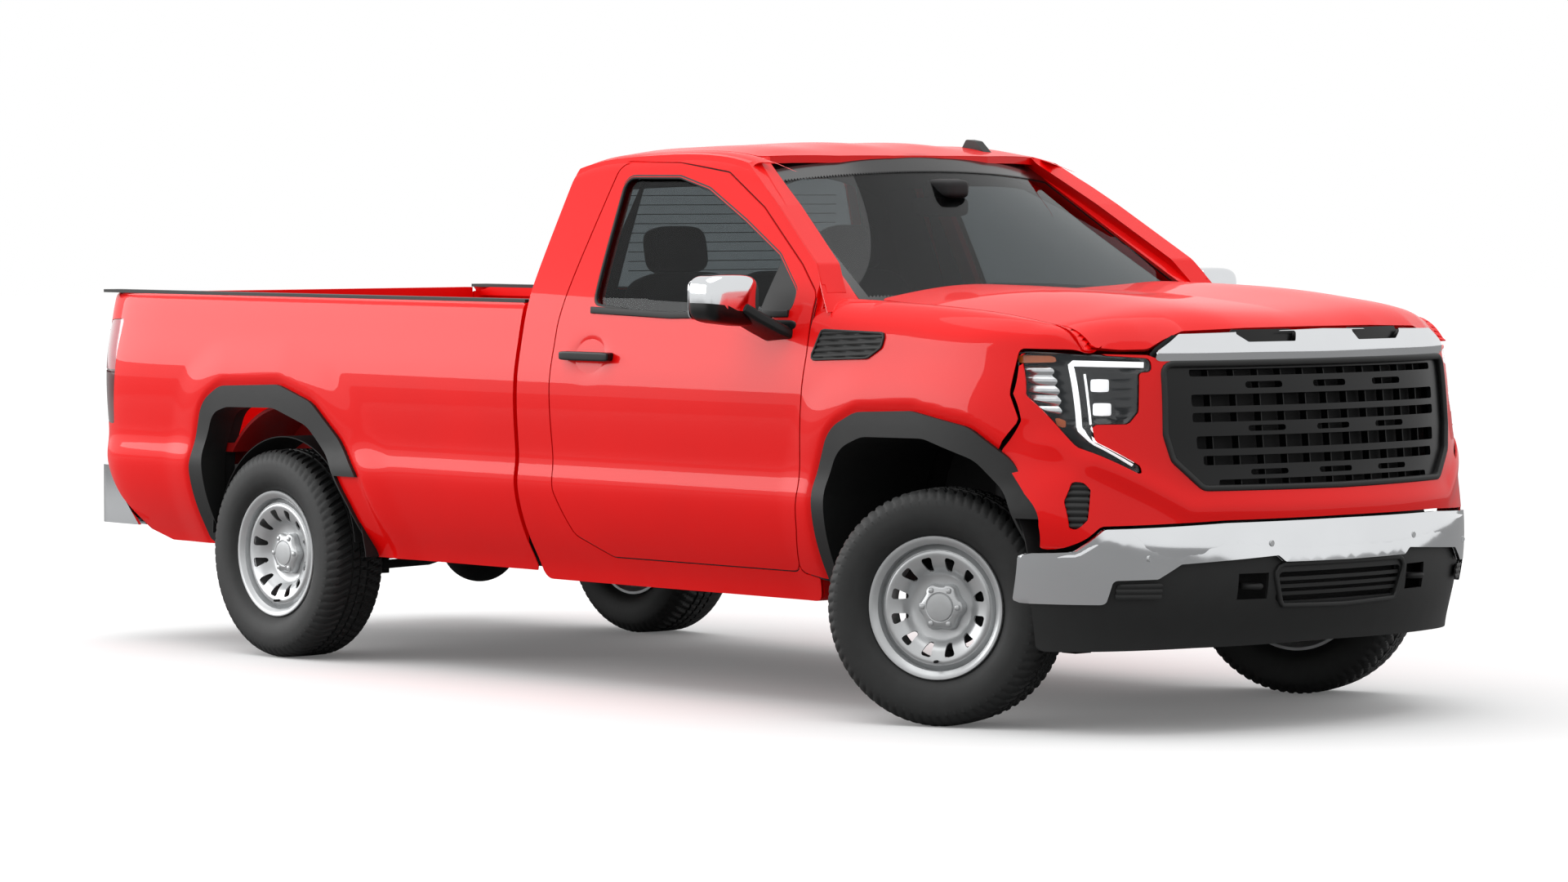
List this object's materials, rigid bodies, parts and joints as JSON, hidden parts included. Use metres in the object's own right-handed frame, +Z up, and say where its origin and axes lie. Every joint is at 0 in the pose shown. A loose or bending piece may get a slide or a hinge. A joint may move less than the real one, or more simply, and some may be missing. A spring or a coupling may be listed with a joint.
{
  "type": "pickup truck",
  "caption": "Two-door pickup truck with an open load bed, opening doors, hood and tailgate, rolling wheels and steered front wheels.",
  "frame": {"origin": "on the floor under the middle of the truck's length and width", "axes": "+X forward to the hood, +Y to the truck's left, +Z up"},
  "size_m": [5.8384, 2.5424, 1.9309],
  "materials": {
    "body_red": "gloss",
    "frame_black": "satin",
    "chrome": "mirror",
    "black_plastic": "textured",
    "gloss_black": "gloss",
    "glass_tint": "clear",
    "lamp_clear": "clear",
    "lamp_red": "gloss",
    "tyre": "matte",
    "wheel_silver": "satin",
    "cast_grey": "rough",
    "seat_fabric": "woven",
    "cabin_plastic": "textured",
    "bed_red": "satin",
    "steel_grey": "brushed"
  },
  "bodies": {
    "chassis": {"frame_rails": "frame_black", "cab_shell": "body_red", "roof_panel": "body_red", "cab_glass": "glass_tint", "cowl_panel": "black_plastic", "fenders": "body_red", "front_fascia": "body_red", "grille": "gloss_black", "grille_header": "chrome", "headlamps": "lamp_clear", "front_bumper": "chrome", "lower_valance": "black_plastic", "bed_box": "bed_red", "bed_sides": "body_red", "bed_rail_caps": "black_plastic", "tail_lamps": "lamp_red", "rear_bumper": "chrome", "seats": "seat_fabric", "dashboard": "cabin_plastic", "steering_wheel": "cabin_plastic", "engine": "cast_grey", "driveline": "cast_grey", "exhaust": "steel_grey", "fuel_tank": "black_plastic", "spare_wheel": "tyre", "front_suspension": "frame_black", "rear_axle": "frame_black", "arch_mouldings": "black_plastic", "antenna": "gloss_black"},
    "hood": {"hood": "body_red"},
    "tailgate": {"tailgate": "body_red"},
    "door_left": {"door_left": "body_red", "door_glass_left": "glass_tint", "mirror_left": "gloss_black"},
    "door_right": {"door_right": "body_red", "door_glass_right": "glass_tint", "mirror_right": "gloss_black"},
    "knuckle_left": {"knuckle_left": "cast_grey"},
    "knuckle_right": {"knuckle_right": "cast_grey"},
    "wheel_front_left": {"wheel_front_left": "wheel_silver", "tyre_front_left": "tyre"},
    "wheel_front_right": {"wheel_front_right": "wheel_silver", "tyre_front_right": "tyre"},
    "wheel_rear_left": {"wheel_rear_left": "wheel_silver", "tyre_rear_left": "tyre"},
    "wheel_rear_right": {"wheel_rear_right": "wheel_silver", "tyre_rear_right": "tyre"}
  },
  "joints": [
    {"name": "hood_hinge", "type": "hinge", "parent": "chassis", "child": "hood", "pos_m": [1.546, 0, 1.372], "axis": [0, -1, 0], "range_deg": [0, 48]},
    {"name": "tailgate_hinge", "type": "hinge", "parent": "chassis", "child": "tailgate", "pos_m": [-2.736, 0, 0.773], "axis": [0, -1, 0], "range_deg": [0, 90]},
    {"name": "door_hinge_left", "type": "hinge", "parent": "chassis", "child": "door_left", "pos_m": [1.42, 0.972, 0.9], "axis": [0, 0, -1], "range_deg": [0, 65]},
    {"name": "door_hinge_right", "type": "hinge", "parent": "chassis", "child": "door_right", "pos_m": [1.42, -0.972, 0.9], "axis": [0, 0, 1], "range_deg": [0, 65]},
    {"name": "steering_left", "type": "hinge", "parent": "chassis", "child": "knuckle_left", "pos_m": [1.918, 0.84, 0.39], "axis": [0, 0, 1], "range_deg": [-58, 8]},
    {"name": "steering_right", "type": "hinge", "parent": "chassis", "child": "knuckle_right", "pos_m": [1.918, -0.84, 0.39], "axis": [0, 0, 1], "range_deg": [-58, 8]},
    {"name": "wheel_spin_front_left", "type": "hinge", "parent": "knuckle_left", "child": "wheel_front_left", "pos_m": [1.90542, 0.86723, 0.39], "axis": [-0.4195, 0.9078, 0], "continuous": true},
    {"name": "wheel_spin_front_right", "type": "hinge", "parent": "knuckle_right", "child": "wheel_front_right", "pos_m": [1.93058, -0.86723, 0.39], "axis": [-0.4195, 0.9078, 0], "continuous": true},
    {"name": "wheel_spin_rear_left", "type": "hinge", "parent": "chassis", "child": "wheel_rear_left", "pos_m": [-1.628, 0.87, 0.39], "axis": [0, 1, 0], "continuous": true},
    {"name": "wheel_spin_rear_right", "type": "hinge", "parent": "chassis", "child": "wheel_rear_right", "pos_m": [-1.628, -0.87, 0.39], "axis": [0, 1, 0], "continuous": true}
  ],
  "couplings": [
    {"joint": "steering_right", "follows": "steering_left", "ratio": 1}
  ]
}
